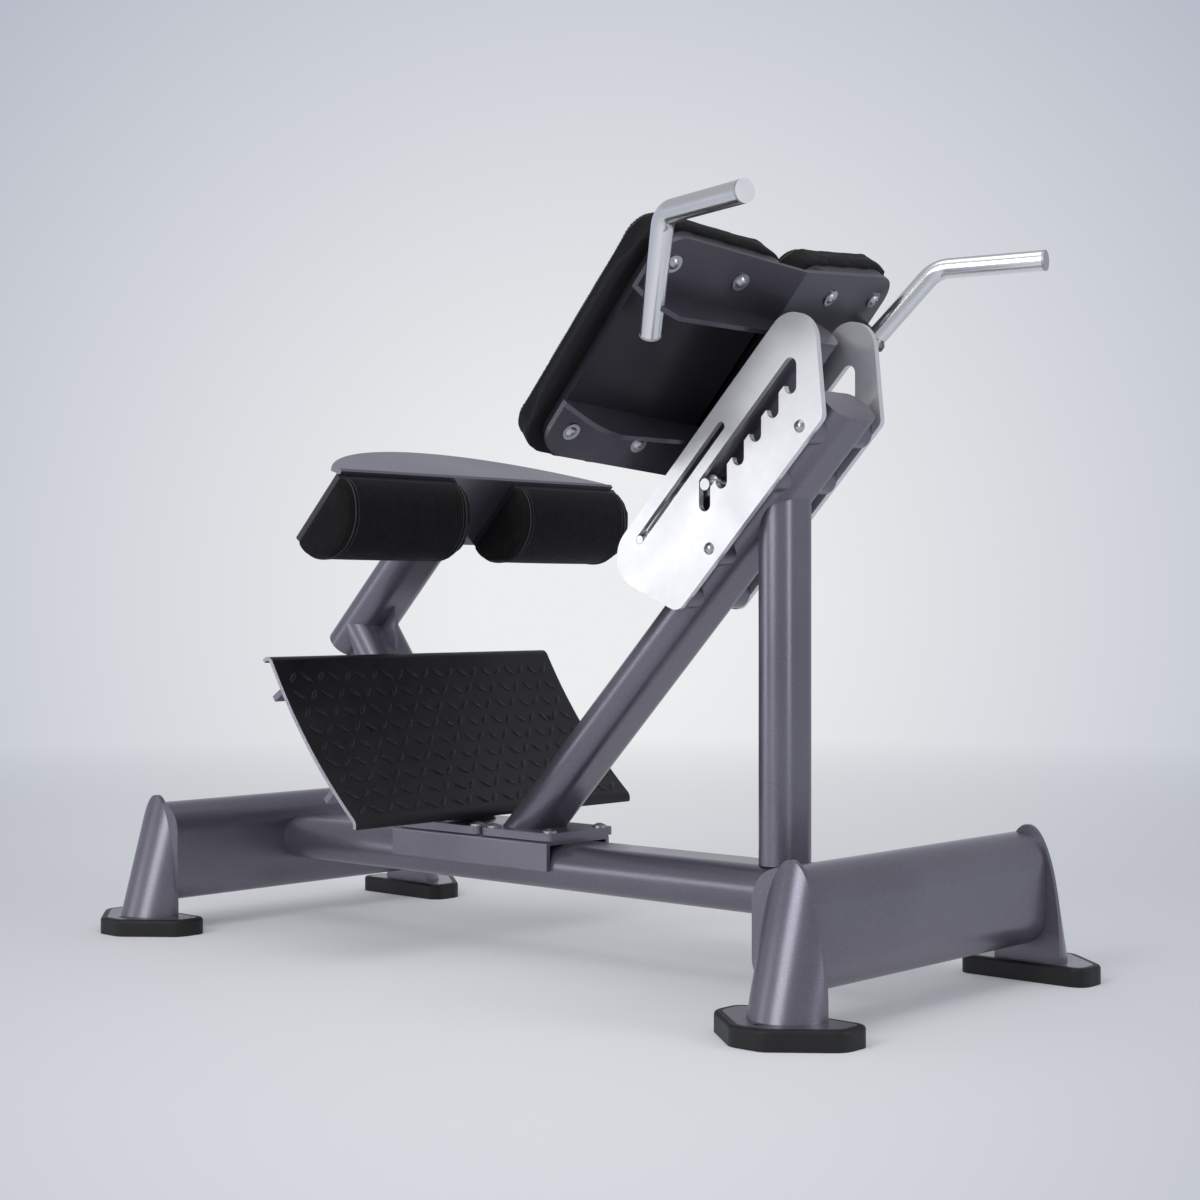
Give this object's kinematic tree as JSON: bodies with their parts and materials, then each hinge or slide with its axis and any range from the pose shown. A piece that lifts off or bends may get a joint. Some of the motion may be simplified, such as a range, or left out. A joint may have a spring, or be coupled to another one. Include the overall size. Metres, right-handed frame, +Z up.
{
  "type": "roman chair",
  "caption": "Free-standing back-extension bench: a curved foot plate, calf pads, and angled hip pads with grips on a ratchet-adjusted carriage between two side plates.",
  "frame": {"origin": "on the floor, midway between the four feet", "axes": "+Z up; -Y is the way the user faces, so the hip pads and grips are on the -Y side and the foot plate on the +Y side; +X is across, to the user's left"},
  "size_m": [0.624, 1.2568, 0.8869],
  "materials": {
    "frame_paint": "satin metallic paint",
    "plate_steel": "satin silver",
    "handle_chrome": "satin chrome",
    "tread_black": "black powder coat on lens-tread sheet",
    "pad_cover": "grained black cover",
    "board": "dark coated plywood",
    "rubber": "matte black",
    "fastener_steel": "zinc plated",
    "fastener_black": "black oxide",
    "glide_plastic": "moulded nylon"
  },
  "bodies": {
    "frame": {"calf_arm": "frame_paint", "calf_arm_caps": "frame_paint", "calf_boards": "board", "calf_bolts": "fastener_black", "calf_bracket": "frame_paint", "calf_gusset": "frame_paint", "calf_pad_left": "pad_cover", "calf_pad_right": "pad_cover", "calf_post": "frame_paint", "column_cap": "frame_paint", "column_flange": "frame_paint", "cross_tube_front": "frame_paint", "cross_tube_rear": "frame_paint", "flange_bolts": "frame_paint", "flange_washers": "fastener_steel", "foot_flanges": "frame_paint", "foot_plate": "tread_black", "foot_plate_bars": "frame_paint", "foot_plate_bolts": "fastener_black", "foot_plate_struts": "frame_paint", "inclined_column": "frame_paint", "leg_front_left": "frame_paint", "leg_front_right": "frame_paint", "leg_plates": "frame_paint", "leg_rear_left": "frame_paint", "leg_rear_right": "frame_paint", "plate_bolts": "fastener_steel", "plate_bosses": "frame_paint", "post_flange": "frame_paint", "rubber_foot_front_left": "rubber", "rubber_foot_front_right": "rubber", "rubber_foot_rear_left": "rubber", "rubber_foot_rear_right": "rubber", "saddle_bracket": "frame_paint", "side_plate_left": "plate_steel", "side_plate_right": "plate_steel", "spine_tube": "frame_paint", "upright": "frame_paint"},
    "carriage": {"carriage_caps": "frame_paint", "carriage_tube": "frame_paint", "cradle_bolts": "fastener_steel", "cradle_lower": "frame_paint", "cradle_upper": "frame_paint", "cradle_washers": "fastener_steel", "glide_block": "glide_plastic", "handle_caps": "handle_chrome", "handle_left": "handle_chrome", "handle_right": "handle_chrome", "hip_pad_left": "pad_cover", "hip_pad_right": "pad_cover", "link_pivot": "fastener_steel", "pad_board_left": "board", "pad_board_right": "board", "slot_pin": "fastener_steel", "slot_pin_collars": "fastener_steel"},
    "ratchet_link": {"ratchet_links": "fastener_steel", "ratchet_pin": "fastener_steel"}
  },
  "joints": [
    {"name": "pad_height", "type": "slide", "parent": "frame", "child": "carriage", "axis": [0, -0.6947, 0.7193], "range_m": [0, 0.18]},
    {"name": "ratchet_swing", "type": "hinge", "parent": "carriage", "child": "ratchet_link", "pos_m": [0, -0.2252, 0.57438], "axis": [1, 0, 0], "range_deg": [0, 21.8]}
  ]
}
